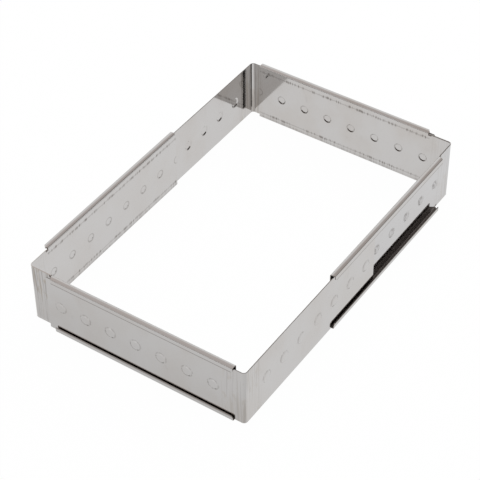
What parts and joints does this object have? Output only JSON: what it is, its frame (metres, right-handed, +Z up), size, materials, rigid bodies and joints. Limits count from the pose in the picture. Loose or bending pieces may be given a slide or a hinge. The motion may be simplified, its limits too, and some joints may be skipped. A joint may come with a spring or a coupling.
{
  "type": "adjustable cake frame",
  "caption": "Rectangular baking frame of bent sheet-steel corners whose flat legs slide in folded channels, so that its length and width can be set.",
  "frame": {"origin": "middle of the frame as it is set, on the surface that the bottom flanges stand on", "axes": "+X along the long sides, +Y along the short sides, +Z up out of the baking surface"},
  "size_m": [0.2822, 0.1842, 0.05],
  "materials": {
    "channel_steel": "smooth rolled stainless sheet, soft mirror",
    "plain_steel": "smooth rolled stainless sheet, soft mirror"
  },
  "bodies": {
    "left_channel": {"channel_corner_left": "channel_steel"},
    "front_plain": {"plain_corner_front": "plain_steel"},
    "back_plain": {"plain_corner_back": "plain_steel"},
    "right_channel": {"channel_corner_right": "channel_steel"}
  },
  "joints": [
    {"name": "width_slide", "type": "slide", "parent": "left_channel", "child": "front_plain", "axis": [0, -1, 0], "range_m": [-0.004, 0.125]},
    {"name": "length_slide", "type": "slide", "parent": "left_channel", "child": "back_plain", "axis": [1, 0, 0], "range_m": [-0.102, 0.027]},
    {"name": "length_follow", "type": "slide", "parent": "front_plain", "child": "right_channel", "axis": [1, 0, 0], "range_m": [-0.102, 0.027]}
  ],
  "couplings": [
    {"joint": "length_follow", "follows": "length_slide", "ratio": 1}
  ]
}
